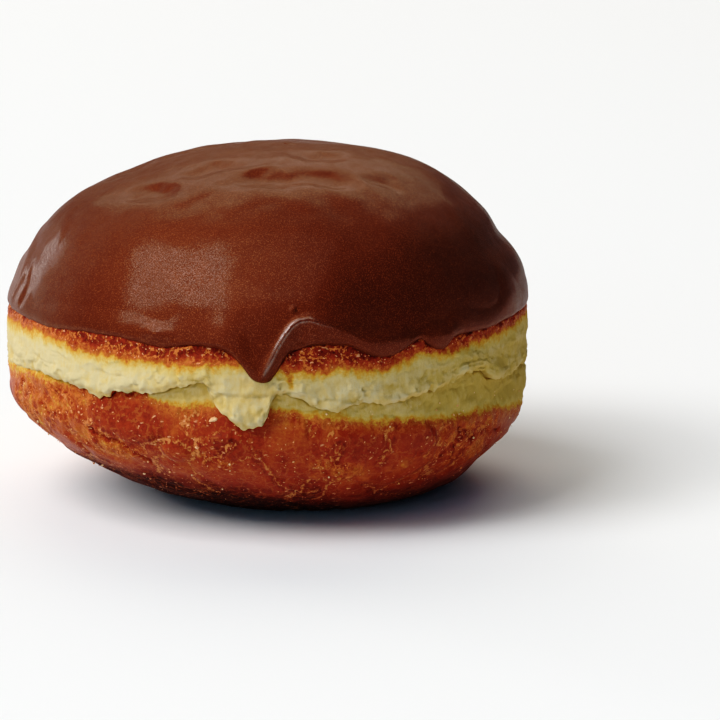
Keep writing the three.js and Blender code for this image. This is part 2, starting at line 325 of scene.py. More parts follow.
# Cracks in the pale ring: depth, width, then bearing and height of each point
RING_CRACKS = [
    (0.42, 0.4, [(-13.5, 27.6), (-11.8, 26.6), (-9.5, 25.9), (-5, 25.5), (-1, 25.6), (2.5, 26.1)]),
    (0.26, 0.36, [(2, 26.2), (5, 26.5), (8, 26)]),
    (0.2, 0.36, [(11, 25.3), (14, 25), (17, 24.9)]),
    (0.18, 0.3, [(-53, 29.2), (-50, 29), (-47, 28.3)]),
    (0.18, 0.3, [(-60, 27.6), (-55, 26.9), (-51, 27.1)]),
    (0.16, 0.3, [(-38, 27.6), (-35, 27.3), (-31, 27.5)]),
    (0.25, 0.35, [(20, 26.6), (24, 26.2)]),
    (0.16, 0.35, [(42, 28), (47, 28.5), (52, 28.4)]),
    (0.35, 0.5, [(104, 26.8), (112, 27.4), (120, 27)]),
    (0.45, 0.5, [(146, 27.5), (153, 28.2), (163, 27.6)]),
    (0.4, 0.5, [(198, 26.6), (207, 27.6), (219, 28.2), (226, 27.4)]),
]

# Lumps of torn crumb that stand out of the ring: bearing, height, half size, stand-out
RING_LUMPS = [
    (-50, 25.8, 2.6, 0.35), (-44, 25.6, 1.8, 0.55), (-40, 24.9, 1.3, 0.45), (-36, 25.4, 1.6, 0.45),
    (-31, 26.2, 1.4, 0.3), (-5.5, 22.8, 4.6, 0.9), (-1.5, 23.2, 2.2, 0.3), (8, 28, 3, 0.25),
    (14, 24, 2.2, 0.35), (24, 25.2, 2.4, 0.3), (33, 25.8, 2, 0.35), (46, 29.5, 3.5, 0.35),
    (58, 26.4, 3, 0.45), (68, 29.5, 3.5, 0.35), (104, 25.4, 2.6, 0.5), (133, 23.8, 2.6, 0.6),
    (150, 27, 3.2, 0.4), (209, 26.4, 2.6, 0.5), (231, 24.6, 2.2, 0.4),
]

# Smooth patches of the lower crust, each ringed by a wrinkle: bearing, height, half length,
# half height, and how much browner the patch is than the crust round it
CRUST_PATCHES = [
    (-31, 20.2, 9, 4.6, 0.1), (-11, 20.2, 5, 3.4, 0.06), (-9, 16.8, 5.5, 2.4, 0.1),
    (-21, 15.1, 2.9, 1.9, 0.03), (4.3, 18.8, 4.3, 3.7, -0.06), (19, 17, 5.5, 4, 0.07),
    (-54, 13.5, 4.5, 3, 0.04), (33, 17, 5, 3.6, 0.05), (110, 14, 7, 4.2, 0.06),
    (138, 15.5, 5, 4, 0.04), (165, 17.5, 7.5, 4.4, 0.07), (200, 17, 6, 4.4, 0.05),
    (233, 18, 7, 4, 0.07),
]

# Single light blisters on the lower crust: bearing, height, half length, half height
CRUST_BLISTERS = [
    (18.7, 11.3, 1.7, 1.1), (20.3, 10, 1.5, 0.9), (30.5, 12.2, 1.4, 0.9), (8, 10.8, 1.2, 0.8),
    (13.2, 11.4, 1.3, 0.7), (9, 13.6, 1.1, 1), (26.5, 11.6, 1.2, 0.7), (35.5, 8.6, 1.1, 0.7),
    (-27.5, 20.6, 0.9, 0.6), (-46, 16.6, 1, 0.7), (131, 12.6, 1.6, 1), (139, 10.4, 1.3, 0.8),
    (170, 11.6, 1.7, 1), (196, 10.2, 1.4, 0.9), (228, 12.4, 1.5, 1),
]

# Blistered stretches of the lower crust: bearing, height, half length, half height
BLISTERED_CRUST = [
    (-64, 17.5, 11, 7), (-52, 20.5, 7.5, 4), (-43, 22, 4, 1.8), (-40, 15.2, 9.5, 3.2),
    (-13, 14.2, 4, 2), (50, 14.5, 12, 6.5), (14, 12.5, 5, 2.4), (94, 12, 10, 5), (122, 17, 9, 4.5),
    (152, 14, 8, 5), (184, 15, 9, 6), (216, 14, 8, 6), (250, 15, 9, 6),
]

# Thin wrinkles of the lower crust, as paths of bearing and height
CRUST_WRINKLES = [
    [(-28.5, 15.8), (-25, 17), (-22, 17.4), (-19.5, 17.2), (-17.5, 16.9), (-16.5, 15.9)],
    [(-15.5, 16.4), (-16, 14.6), (-15, 13.9), (-11.5, 15), (-9, 16.6), (-7, 17.5)],
    [(-18.5, 24.2), (-18, 22.4), (-17.5, 20.7), (-15.8, 19.3)],
    [(-3, 15.6), (-2.5, 13.6), (-1.5, 11), (0.5, 8.8), (4, 7.6), (8, 7.8)],
    [(8, 13.9), (9, 12.7), (11, 12.7), (12.5, 14.3), (14, 15), (15, 17)],
    [(41.5, 12.5), (44, 13.4), (46.5, 14.7), (50, 15.7), (53.5, 15.9)],
    [(36.5, 17.5), (39.5, 15.6), (42.5, 13.9), (45, 11.9)],
    [(-50, 22.8), (-48, 21.2), (-46, 19.4), (-43, 18.1), (-39.5, 17.4), (-36, 16.8)],
    [(24, 13), (26.5, 15.2), (26, 17.6), (27.5, 19.5)],
    [(-60, 12), (-54, 10.8), (-47, 11.2), (-41, 10.2)],
]

# Creases sunk into the lower crust and darkened with painted shade, as paths of bearing and height
CRUST_CREASES = [
    [(-42.5, 17.3), (-39.5, 16.4), (-37.6, 15.6), (-35.8, 15.8), (-34.6, 15.2)],
    [(-34, 15), (-32.5, 14.5), (-31, 13.4), (-30, 12.4)],
    [(-58, 19.5), (-55, 18.2), (-53, 18.4)],
    [(46, 17), (49, 16), (50.5, 14.4)],
    [(56, 15.6), (59, 14.4), (63, 14.6)],
]

# Smear of browned crust drawn down over the ring: bearing, height, half width, half height
CRUST_SMEAR = (4.8, 28.8, 0.9, 2.4)

# How dry and white the torn crumb is, 0 moist and yellow, lower on the right as painted shade:
# bearing, dryness
CRUMB_DRYNESS_AND_SHADE = [
    (-110, 0.9), (-60, 1), (-35, 0.85), (-10, 0.66), (10, 0.78), (30, 0.6), (45, 0.35), (75, 0.22),
    (110, 0.55), (150, 0.8), (200, 0.9), (225, 0.7),
]


def across(bearing_span):
    """Millimetres along the waist for a span of bearings."""
    return radians(bearing_span) * WAIST_RADIUS


def from_leg(bearing, height, start, end):
    """Distance in millimetres to a leg of a path, the share along it, and if it is on the left."""
    along = Vector((across(end[0] - start[0]), end[1] - start[1]))
    away = Vector((across(bearing_gap(bearing, start[0])), height - start[1]))
    share = clamp(away.dot(along) / along.length_squared)
    left = along.x * away.y > along.y * away.x
    return (away - share * along).length, share, left


def distance_to_path(bearing, height, path):
    """Distance in millimetres from a place on the side to a path drawn on it."""
    legs = zip(path, path[1:])
    return min(from_leg(bearing, height, start, end)[0] for start, end in legs)


def boxed(paths):
    """Each path with the bearing and height at the middle of its box, and the half sizes."""
    boxes = []
    for path in paths:
        bearings = [stop[0] for stop in path]
        heights = [stop[1] for stop in path]
        middle = (min(bearings) + max(bearings)) / 2, (min(heights) + max(heights)) / 2
        half = (max(bearings) - min(bearings)) / 2, (max(heights) - min(heights)) / 2
        boxes.append((middle, half, path))
    return boxes


def nearest_path(bearing, height, boxes, reach):
    """Distance in millimetres to the nearest of some paths, or the reach if all are farther."""
    nearest = reach
    for middle, half, path in boxes:
        if abs(height - middle[1]) > half[1] + reach:
            continue
        if across(abs(bearing_gap(bearing, middle[0])) - half[0]) < reach:
            nearest = min(nearest, distance_to_path(bearing, height, path))
    return nearest


def crack_depth(bearing, height):
    depth = 0.0
    for deep, width, path in RING_CRACKS:
        if -4 < bearing_gap(bearing, path[0][0]) < path[-1][0] - path[0][0] + 4:
            distance = distance_to_path(bearing, height, path)
            depth = max(depth, deep * hump(distance, width))
    return depth


def lump_rise(bearing, height):
    rise = 0.0
    for at, middle, half, out in RING_LUMPS:
        sideways = across(bearing_gap(bearing, at))
        if abs(sideways) < half * 1.4:
            rise += out * hump(hypot(sideways / 1.4, height - middle), half)
    return rise


def ragged_edge(bearing, sizes, seed):
    """Millimetres by which a torn edge strays from its line."""
    turn = radians(bearing)
    at = Vector((sin(turn), -cos(turn), 0)) * WAIST_RADIUS + Vector((0, 0, seed))
    return sum(amount * noise.noise(at / size) for size, amount in sizes)


def shares(count):
    """Equal steps up to 1."""
    return [i / count for i in range(1, count + 1)]


def dough_rows(bearing):
    """Arc, lift and tornness of every row at one bearing, from underneath to the crown."""
    lip_height, setback = round_the_waist(LIP_EDGE, bearing, rounded=False)
    torn = clamp(setback / 0.8)
    ragged = ragged_edge(bearing, ((3.0, 0.55), (1.2, 0.45), (0.6, 0.22)), 5)
    lip_height += ragged * (0.3 + 0.7 * torn)
    behind = blended_setback(bearing)

    def lower(height):
        return -behind * (1 - smoothstep(SEAM_HEIGHT - height, 0, SETBACK_FADE))

    rows = [(0.0, 0.0, 0.0)]
    bowl_top = arc_at_height(lip_height - BEHIND_LIP_HEIGHT)
    for i in range(BOWL_ROWS + 1):
        arc = mix(REST_ARC, bowl_top, (i / BOWL_ROWS) ** BOWL_CROWDING)
        rows.append((arc, lower(profile_at(arc)[1]), 0.0))
    crease = lip_height + UNDERCUT * torn
    for share in shares(BEHIND_LIP_ROWS):
        height = mix(lip_height - BEHIND_LIP_HEIGHT, crease, share)
        cleft = CLEFT_DEPTH * torn * smoothstep(share, 0.76, 1.0)
        rows.append((arc_at_height(height), lower(height) - cleft, 0.5 * share))
    for share in shares(LIP_ROWS):
        height = crease + (1 - torn) * 0.3 * share + 0.12 * share
        height -= torn * UNDERCUT * sin(pi / 2 * share)
        deepest = lower(crease) - CLEFT_DEPTH * torn
        rows.append((arc_at_height(height), mix(deepest, 0.0, share ** 0.8), 1.0))
    ring_start = rows[-1][0]
    ring_end = arc_at_height(RING_TOP)
    for share in shares(RING_ROWS):
        arc = mix(ring_start, ring_end, share)
        above = profile_at(arc)[1] - lip_height
        proud = LIP_STANDS_OUT * torn * smoothstep(above, 0, 1.2)
        proud *= 1 - smoothstep(above, 1.2, 5)
        rows.append((arc, proud, 1 - smoothstep(above, 0.5, 4.5)))
    edge = round_the_waist(ICING_EDGE, bearing)[0]
    crust_end = arc_at_height(CRUST_TOP)
    crust_arcs = [mix(ring_end, crust_end, share) for share in shares(CRUST_ROWS)]
    crust_arcs += [mix(crust_end, CROWN_ARC, share) for share in shares(HIDDEN_ROWS)]
    for arc in crust_arcs:
        above = profile_at(arc)[1] - edge
        rows.append((arc, -UNDER_ICING * smoothstep(above, -0.2, 1.8), 0.0))
    return rows, lip_height, torn


def crumb_relief(point):
    """Height of torn crumb and the tone of the flake it is in, from -1 to 1."""
    fold = Vector((point.x / 6, point.y / 6, point.z / 2.2))
    rise = 0.44 * noise.noise(fold)
    flat = Vector((point.x, point.y, point.z * 1.6)) / 2.4
    flat += noise.noise_vector(point / 1.6) * 0.45 + noise.noise_vector(point / 0.7) * 0.16
    spans, centres = noise.voronoi(flat)
    tilt = noise.cell_vector(centres[0] * 9.7) - Vector((0.5, 0.5, 0.5))
    rise += 0.85 * (flat - centres[0]).dot(tilt)
    rise += 0.20 * noise.noise(Vector((point.x / 0.9, point.y / 0.9, point.z / 3.2)))
    rise += 0.10 * noise.noise(point / 0.8)
    tone = noise.cell(centres[0] * 5.3) * smoothstep(spans[1] - spans[0], 0.0, 0.35)
    return rise, tone


def crust_gap(point, size):
    """Distance in millimetres to the wrinkles that divide the crust into patches."""
    bent = point + noise.noise_vector(point / (size * 0.6)) * size * 0.22
    bent += noise.noise_vector(point / 1.3) * 0.35
    near, next_near = noise.voronoi(bent / size)[0][:2]
    return (next_near - near) * size * 0.5


def patches_near(bearing, height, patches, span, stray):
    """Each patch within a span of bearings, with how far out the place is: 1 on its edge."""
    for patch in patches:
        gap = bearing_gap(bearing, patch[0])
        if abs(gap) < span:
            reach = hypot(across(gap) / patch[2], (height - patch[1]) / patch[3])
            yield patch, reach + 0.28 * stray


def streaks(point, size, length):
    """Smooth noise from -1 to 1 in upright streaks."""
    return noise.noise(Vector((point.x / size, point.y / size, point.z / length)))


# How the crust browns away from its pale edge, below and above the waist: millimetres past
# the edge where each step starts and ends, and how much it adds
BOWL_BROWNING = [(-1.8, 0.2, 0.26), (-0.1, 1.4, 0.26), (1.0, 4.0, 0.10)]
DOME_BROWNING = [(-2.8, 0.3, 0.25), (-0.2, 1.1, 0.30), (0.8, 2.6, 0.24)]
# The crust's foot: browner with painted shade all round, and more painted shade left of the front
FOOT_HEIGHT = 11.0
FOOT_BROWNING_AND_SHADE = 0.24
SHADED_FOOT_BEARING = -55
SHADED_FOOT_HEIGHT = 12.5
PAINTED_FOOT_SHADE = 0.60
# The palest that the lower crust gets, and the side where it gets paler still
LEAST_BROWNING = 0.46
PALE_SIDE_BEARING = -60
PALE_SIDE_BROWNING = 0.08
BLISTER_BROWNING = 0.12
SMEAR_BROWNING = 0.32
# A thin line under the torn lip: the browned crust it tore from, and painted shade under the
# overhang
LIP_BROWN_LINE_AND_SHADE = 0.66
# Degrees to either side past which no form of its kind reaches
WIDEST_STRETCH = 20
WIDEST_PATCH = 18
WIDEST_BLISTER = 4

# How far each form stands out of the crust or sinks into it, in millimetres
CRUST_RELIEF = 0.30
PATCH_RISE = 0.35
BLISTER_RISE = 0.22
WRINKLE_RISE = 0.20
CREASE_DEPTH = 0.50
LINE_WIDTH = 0.5
CRUST_PATCH_SIZE = 10.0
FAR_FROM_WRINKLES = 9.0
SHELL_LAYERS = ("browning_with_shade", "wrinkle", "crumb", "blister", "dryness_with_shade")


def steps_up(value, steps):
    return sum(amount * smoothstep(value, start, end) for start, end, amount in steps)


def rough_skin(point, coarse, fine):
    return coarse * relief(point, 1.1) + fine * relief(point, 0.55)


WRINKLE_BOXES = boxed(CRUST_WRINKLES)
CREASE_BOXES = boxed(CRUST_CREASES)


def lower_crust(point, bearing, height, below, stray):
    """Browning with painted shade, rise, distance to a wrinkle, crustiness and blistering below the
    waist.
    """
    crusty = smoothstep(below, -0.4, 1.0)
    browned_and_shaded = steps_up(below, BOWL_BROWNING)
    # Darker towards the foot, partly browning and partly painted shade
    browned_and_shaded += smoothstep(FOOT_HEIGHT - height, 0.0, FOOT_HEIGHT) * FOOT_BROWNING_AND_SHADE
    bump = 0.0
    blister = 0.7 * hump(below - 1.0, 1.8)
    for _, reach in patches_near(bearing, height, BLISTERED_CRUST, WIDEST_STRETCH, 2 * stray):
        blister = max(blister, 1 - smoothstep(reach, 0.4, 1.1))
    large = crust_gap(point, CRUST_PATCH_SIZE)
    rim = FAR_FROM_WRINKLES
    uneven = 1.0
    for patch, reach in patches_near(bearing, height, CRUST_PATCHES, WIDEST_PATCH, stray):
        inside = 1 - smoothstep(reach, 0.50, 1.15)
        browned_and_shaded += crusty * patch[4] * inside
        uneven *= 1 - 0.8 * inside
        bump += crusty * PATCH_RISE * inside
        rim = min(rim, abs(reach - 1) * patch[3])
        large = min(large, rim)
        large += 2 * inside * smoothstep(reach, 0.95, 0.7)
    blister *= uneven
    for _, reach in patches_near(bearing, height, CRUST_BLISTERS, WIDEST_BLISTER, stray):
        inside = 1 - smoothstep(reach, 0.3, 1.1)
        browned_and_shaded -= crusty * BLISTER_BROWNING * inside
        bump += crusty * BLISTER_RISE * inside
    wander = bearing + 1.2 * relief(point, 1.4, 2.0), height + 0.5 * relief(point, 1.0, 7.0)
    laid = nearest_path(*wander, WRINKLE_BOXES, 2.0)
    crease = nearest_path(*wander, CREASE_BOXES, 2.0)
    # Painted shade in the creases
    browned_and_shaded += crusty * 0.20 * hump(crease, LINE_WIDTH)
    browned_and_shaded += uneven * 0.09 * relief(point, 7.0, 1.0)
    browned_and_shaded += crusty * uneven * 0.10 * relief(point, 2.4, 3.0)
    browned_and_shaded += crusty * blister * (0.36 * relief(point, 2.0, 6.0) - 0.09)
    pale_side = PALE_SIDE_BROWNING * hump(bearing_gap(bearing, PALE_SIDE_BEARING), 50)
    browned_and_shaded = max(browned_and_shaded, (LEAST_BROWNING - pale_side) * crusty)
    # Painted shade over the foot, darkest to the left of the front
    painted_side_shade = PAINTED_FOOT_SHADE * hump(bearing_gap(bearing, SHADED_FOOT_BEARING), 80)
    browned_and_shaded += painted_side_shade * smoothstep(SHADED_FOOT_HEIGHT - height, 0.0, 7.5)
    divided = smoothstep(relief(point, 12.0, 4.0), -0.40, -0.05)
    rim += 0.9 * clamp(relief(point, 3.0, 9.0) + 0.15)
    wrinkle = min(large + 3 * (1 - divided), 0.85 * laid, rim)
    # Painted shadow: thin dark lines beside each wrinkle
    browned_and_shaded += crusty * 0.12 * hump(laid - 0.6, 0.4)
    bump += crusty * divided * CRUST_RELIEF * (smoothstep(large, 0.0, 1.4) - 0.6)
    bump += crusty * (CRUST_RELIEF * relief(point, 8.0) - CREASE_DEPTH * hump(crease, LINE_WIDTH))
    bump += crusty * WRINKLE_RISE * hump(laid, LINE_WIDTH) * (0.6 + relief(point, 0.8))
    bump += crusty * blister * rough_skin(point, 0.36, 0.22)
    return browned_and_shaded, bump, wrinkle, crusty, blister


def upper_crust(point, bearing, height, above, stray, lip_line_and_shade):
    """Browning with the lip's painted shade, rise and crustiness of the torn ring and the crust
    above it.
    """
    crusty = smoothstep(above, -0.2, 1.2)
    at, middle, half_width, half_height = CRUST_SMEAR
    smeared = hump(across(bearing_gap(bearing, at)) + 0.4 * stray, half_width)
    smeared *= 1 - smoothstep(abs(height - middle), 0.5 * half_height, half_height)
    browned_and_shaded = max(steps_up(above, DOME_BROWNING), SMEAR_BROWNING * smeared, lip_line_and_shade)
    browned_and_shaded += crusty * 0.13 * relief(point, 1.3, 6.0)
    bump = crusty * rough_skin(point, 0.28, 0.18)
    bump += (1 - crusty) * lump_rise(bearing, height)
    return browned_and_shaded, bump - crack_depth(bearing, height), crusty


def shape_dough(shell):
    layers = [shell.verts.layers.float.new(name) for name in SHELL_LAYERS]
    columns = []
    for column in range(DOUGH_COLUMNS):
        bearing = bearing_of(column, DOUGH_COLUMNS)
        tables = LOWER_BROWNING, UPPER_BROWNING, CRUMB_DRYNESS_AND_SHADE
        at_waist = [round_the_waist(table, bearing)[0] for table in tables]
        columns.append((bearing, *dough_rows(bearing), *at_waist))
    last_bowl_row = BOWL_ROWS + BEHIND_LIP_ROWS + 1
    for vert in shell.verts:
        column, row = column_and_row(vert, DOUGH_ROWS, DOUGH_COLUMNS)
        bearing, rows, lip_height, torn_here, pale_to, pale_from, dryness_with_shade = columns[column]
        arc, lift, torn = rows[row]
        height = profile_at(arc)[1]
        point = place(bearing, arc, lift)
        stray = 0.55 * relief(point, 2.6) + 0.30 * relief(point, 0.9, 3.0)
        stray += 0.55 * streaks(point, 0.8, 3.0)
        if row <= last_bowl_row:
            below = pale_to - height + stray
            browned_and_shaded, bump, wrinkle, crusty, blister = lower_crust(point, bearing, height, below, stray)
            soft = (1 - crusty) * 0.7
            # Crumb set back under a torn lip is moister and darker, partly painted shade under the
            # lip
            dryness_with_shade -= 0.35 * torn_here
        else:
            # Thin line under the torn lip: partly the browned crust below it, partly painted shade
            # under the overhang
            browned = smoothstep(pale_to - lip_height + stray, -1.6, 0.4)
            lip_line_and_shade = LIP_BROWN_LINE_AND_SHADE * browned * torn_here if row <= last_bowl_row + 3 else 0
            above = height - pale_from + stray
            browned_and_shaded, bump, crusty = upper_crust(point, bearing, height, above, stray, lip_line_and_shade)
            wrinkle = FAR_FROM_WRINKLES
            blister = crusty
            soft = (1 - crusty) * (0.40 + 0.60 * torn)
        crumb_bump, tone = crumb_relief(point)
        crumb_bump *= soft
        bump += crumb_bump
        if 1 < row < DOUGH_ROWS - HIDDEN_ROWS:
            fade = smoothstep(arc - REST_ARC, 0.0, 4.0)
            point += way_out(bearing, arc) * bump * fade
        vert.co = point
        # Painted shade: crumb hollows moister and darker, rises drier and paler; flake tones are the
        # crumb's own
        dryness_with_shade += 0.9 * crumb_bump + 0.30 * tone
        for layer, value in zip(layers, (clamp(browned_and_shaded), wrinkle, 1 - crusty, blister, dryness_with_shade)):
            vert[layer] = value


def display(red, green, blue):
    """A colour given as it looks on a screen, 0 to 255, turned into the shader's linear one."""
    linear = []
    for value in (red, green, blue):
        share = value / 255
        low = share <= 0.04045
        linear.append(share / 12.92 if low else ((share + 0.055) / 1.055) ** 2.4)
    return (*linear, 1.0)


def new_material(name):
    """A material, the inputs of its shader, and the place on the piece for its textures."""
    material = bpy.data.materials.new(name)
    material.use_nodes = True
    nodes = material.node_tree.nodes
    where = nodes.new("ShaderNodeTexCoord").outputs["Object"]
    return material, nodes["Principled BSDF"].inputs, where


def feed(sockets, values):
    """Sets inputs to plain values, or links them to other nodes' outputs."""
    for name, value in values.items():
        if isinstance(value, bpy.types.NodeSocket):
            value.id_data.links.new(value, sockets[name])
        else:
            sockets[name].default_value = value


def add_node(beside, kind, inputs, **settings):
    """Outputs of a new node in the same tree as a socket, set up and fed."""
    node = beside.id_data.nodes.new("ShaderNode" + kind)
    for name, value in settings.items():
        setattr(node, name, value)
    feed(node.inputs, inputs)
    return node.outputs


def add_noise(where, size, detail=2.0, roughness=0.5):
    """A noise texture whose grains are about one size in millimetres."""
    inputs = {"Vector": where, "Scale": 1 / (size * MM), "Detail": detail, "Roughness": roughness}
    return add_node(where, "TexNoise", inputs)["Fac"]


def add_math(operation, *values, clamped=False):
    inputs = dict(enumerate(values))
    return add_node(values[0], "Math", inputs, operation=operation, use_clamp=clamped)["Value"]


def add_product(*values):
    return reduce(partial(add_math, "MULTIPLY"), values)


def add_highest(*values):
    return reduce(partial(add_math, "MAXIMUM"), values)


def add_range(value, low, high, to_low=0.0, to_high=1.0):
    """A value's smooth way from one end of a range to the other, as shares or other ends."""
    inputs = {"Value": value, "From Min": low, "From Max": high, "To Min": to_low, "To Max": to_high}
    return add_node(value, "MapRange", inputs, interpolation_type="SMOOTHSTEP")["Result"]


def add_mix(share, first, second):
    inputs = {"Factor": share, "A": first, "B": second}
    return add_node(share, "Mix", inputs, data_type="RGBA")["Result"]


def add_ramp(value, stops):
    """Colours between the stops of a list, the first of which is at 0 and the last at 1."""
    ramp = value.id_data.nodes.new("ShaderNodeValToRGB")
    elements = ramp.color_ramp.elements
    for position, colour in stops[1:-1]:
        elements.new(position).color = colour
    elements[0].color = stops[0][1]
    elements[-1].color = stops[-1][1]
    feed(ramp.inputs, {"Fac": value})
    return ramp.outputs["Color"]


def add_attribute(beside, name):
    return add_node(beside, "Attribute", {}, attribute_name=name)["Fac"]


def add_stretch(where, scale):
    """Coordinates that stretch what is drawn with them, along x, y and z."""
    return add_node(where, "Mapping", {"Vector": where, "Scale": scale})["Vector"]


def add_bump(height, distance, strength, under=None):
    """Relief from a height, on top of other relief if there is some."""
    inputs = {"Height": height, "Distance": distance * MM, "Strength": strength}
    if under is not None:
        inputs["Normal"] = under
    return add_node(height, "Bump", inputs)["Normal"]


def add_specks(where, size, share, span, strength):
    """Round specks, one in each cell of a size, in a share of the cells picked at random."""
    cells = add_node(where, "TexVoronoi", {"Vector": where, "Scale": 1 / (size * MM)})
    draw = add_node(where, "SeparateColor", {"Color": cells["Color"]})["Red"]
    chosen = add_math("LESS_THAN", draw, share)
    return add_product(add_range(cells["Distance"], *span, strength, 0.0), chosen)


# Colours from the edge of the crumb to the darkest crust, whose dark end also draws painted shade
BROWNING = [
    (0.00, display(210, 188, 132)),
    (0.14, display(201, 174, 106)),
    (0.26, display(197, 148, 66)),
    (0.38, display(182, 106, 54)),
    (0.50, display(166, 82, 43)),
    (0.64, display(148, 59, 34)),
    (0.80, display(117, 44, 27)),
    (1.00, display(58, 16, 9)),
]
# Colours of the crumb, from moist, which also stands for painted shade, to dry
CRUMB = [
    (0.00, display(190, 160, 92)),
    (0.30, display(195, 166, 101)),
    (0.65, display(201, 176, 119)),
    (1.00, display(199, 181, 137)),
]
WRINKLE_TAN = display(206, 136, 84)
BLISTER_TAN = display(210, 124, 70)
SPECK_TAN = display(232, 170, 128)

# Grains of the crust and crumb: size in millimetres, detail and roughness
FINE_GRAIN = (0.45, 3.0, 0.6)
MIDDLING_GRAIN = (1.6, 3.0, 0.6)
CRUMB_FIBRES = (0.5, 3.0, 0.65)
WRINKLE_BREAKS = (0.6, 3.0, 0.7)
WIDE_PATCHES = (5.0, 2.0)
PORES = (0.3, 4.0, 0.65)
# Cells of the crackle on blistered crust, of the specks and of the dashes low down, which all
# bend by the warp, in millimetres, and how strongly each shows
WARP = 1.2
CRACKLE_SIZE = 1.9
SPECK_SIZE = 0.70
DASH_SIZE = 0.95
SPECK_STRENGTH = 0.85
DASH_STRENGTH = 0.7
WRINKLE_STRENGTH = 0.75
CRACKLE_STRENGTH = 0.8
# Roughness of bare crust and of crumb, and how much a blister and the dark foot add
CRUST_ROUGHNESS = 0.40
CRUMB_ROUGHNESS = 0.85
BLISTER_ROUGHNESS = 0.16
FOOT_ROUGHNESS = 0.3
CRUST_SHINE = 0.18


def crust_material():
    material, surface, where = new_material("fried_crust")
    layers = [add_attribute(where, name) for name in SHELL_LAYERS]
    browning_with_shade, wrinkle, crumb, blister, dryness_with_shade = layers

    fine = add_noise(where, *FINE_GRAIN)
    middling = add_noise(where, *MIDDLING_GRAIN)
    fibres = add_noise(add_stretch(where, (1, 1, 0.3)), *CRUMB_FIBRES)
    grain = add_range(browning_with_shade, 0.04, 0.4, 0.10, 0.40)
    grain = add_math("MULTIPLY_ADD", blister, 0.35, grain)
    strays = add_product(add_math("SUBTRACT", fine, 0.5), grain)
    clouds = add_product(add_math("SUBTRACT", middling, 0.5), 0.24)
    shade = add_math("ADD", browning_with_shade, strays)
    shade = add_math("ADD", shade, clouds, clamped=True)
    crust_colour = add_ramp(shade, BROWNING)

    # The crumb's colour follows its dryness, which also carries painted shade
    dry_and_shaded = add_math("SUBTRACT", fibres, 0.5)
    dry_and_shaded = add_math("MULTIPLY_ADD", dry_and_shaded, 1.1, dryness_with_shade)
    dry_and_shaded = add_math("MULTIPLY_ADD", clouds, 2.4, dry_and_shaded, clamped=True)
    crumb_colour = add_ramp(dry_and_shaded, CRUMB)
    bare = add_range(shade, 0.02, 0.20, 1.0, 0.0)
    colour = add_mix(bare, crust_colour, crumb_colour)

    crusty = add_range(browning_with_shade, 0.3, 0.5)
    vein_width = add_noise(where, *WRINKLE_BREAKS)
    vein_width = add_range(vein_width, 0.36, 0.62, 0.0, 0.28)
    veins = add_range(add_math("SUBTRACT", vein_width, wrinkle), 0.0, 0.10)
    veins = add_product(veins, crusty)
    colour = add_mix(add_product(veins, WRINKLE_STRENGTH), colour, WRINKLE_TAN)

    sway = add_node(where, "TexNoise", {"Vector": where, "Scale": 1 / (WARP * MM)})["Color"]
    warp = {0: sway, 1: (WARP * MM, WARP * MM, WARP * MM), 2: where}
    bent = add_node(where, "VectorMath", warp, operation="MULTIPLY_ADD")["Vector"]
    cells = {"Vector": bent, "Scale": 1 / (CRACKLE_SIZE * MM)}
    gap = add_node(where, "TexVoronoi", cells, feature="DISTANCE_TO_EDGE")["Distance"]
    crackle_width = add_range(fine, 0.40, 0.60, 0.0, 0.17)
    crackle = add_range(add_math("SUBTRACT", crackle_width, gap), 0.0, 0.05)
    blistered = add_math("MULTIPLY_ADD", blister, 0.65, 0.35)
    spread = add_product(add_range(middling, 0.36, 0.52), blistered)
    crackle = add_product(crackle, crusty, spread)
    colour = add_mix(add_product(crackle, CRACKLE_STRENGTH), colour, BLISTER_TAN)

    speck_share = add_math("MULTIPLY_ADD", blister, 0.40, 0.22)
    specks = add_specks(bent, SPECK_SIZE, speck_share, (0.11, 0.25), SPECK_STRENGTH)
    specks = add_product(specks, crusty)
    colour = add_mix(specks, colour, SPECK_TAN)

    level = add_stretch(bent, (0.5, 0.5, 1))
    dash_share = add_noise(where, *WIDE_PATCHES)
    dash_share = add_range(dash_share, 0.36, 0.58, 0.10, 0.80)
    dashes = add_specks(level, DASH_SIZE, dash_share, (0.09, 0.22), DASH_STRENGTH)
    dashes = add_product(dashes, add_range(browning_with_shade, 0.54, 0.68))
    colour = add_mix(dashes, colour, SPECK_TAN)

    rough = add_range(crumb, 0.2, 0.8, CRUST_ROUGHNESS, CRUMB_ROUGHNESS)
    rough = add_math("MULTIPLY_ADD", blister, BLISTER_ROUGHNESS, rough)
    foot = add_range(browning_with_shade, 0.6, 1.0, 0.0, FOOT_ROUGHNESS)
    rough = add_math("ADD", rough, foot)

    pore_height = add_math("ADD", add_range(crumb, 0.2, 0.8, 0.12, 0.8), blister)
    pore_height = add_product(pore_height, add_noise(where, *PORES))
    pored = add_bump(pore_height, 0.24, 0.5)
    raised = add_highest(veins, crackle, specks, dashes)
    normal = add_bump(raised, 0.14, 0.7, pored)
    feed(surface, {"Base Color": colour, "Roughness": rough, "Normal": normal})
    feed(surface, {"Specular IOR Level": CRUST_SHINE})
    return material


dough_shell = wrapped_sheet(DOUGH_ROWS, DOUGH_COLUMNS)
shape_dough(dough_shell)
dough = finished_piece("fried_dough", dough_shell, crust_material())
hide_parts("dough")

# Icing.
# Chocolate icing that the top half was dipped in. It ran a little way down before it set,
# in a rounded edge with lobes and one long drip, and its skin dried with shallow dents.

ICING_COLUMNS = 720
ICING_ROWS = 112
ICING_CROWDING = 1.4
ICING_EDGE_ROWS = 12
ICING_INSIDE_ROWS = 4
ICING_SHELL_ROWS = ICING_INSIDE_ROWS + 2 + ICING_EDGE_ROWS + ICING_ROWS
ICING_BEAD = 0.45
EDGE_SETTLED = 0.35

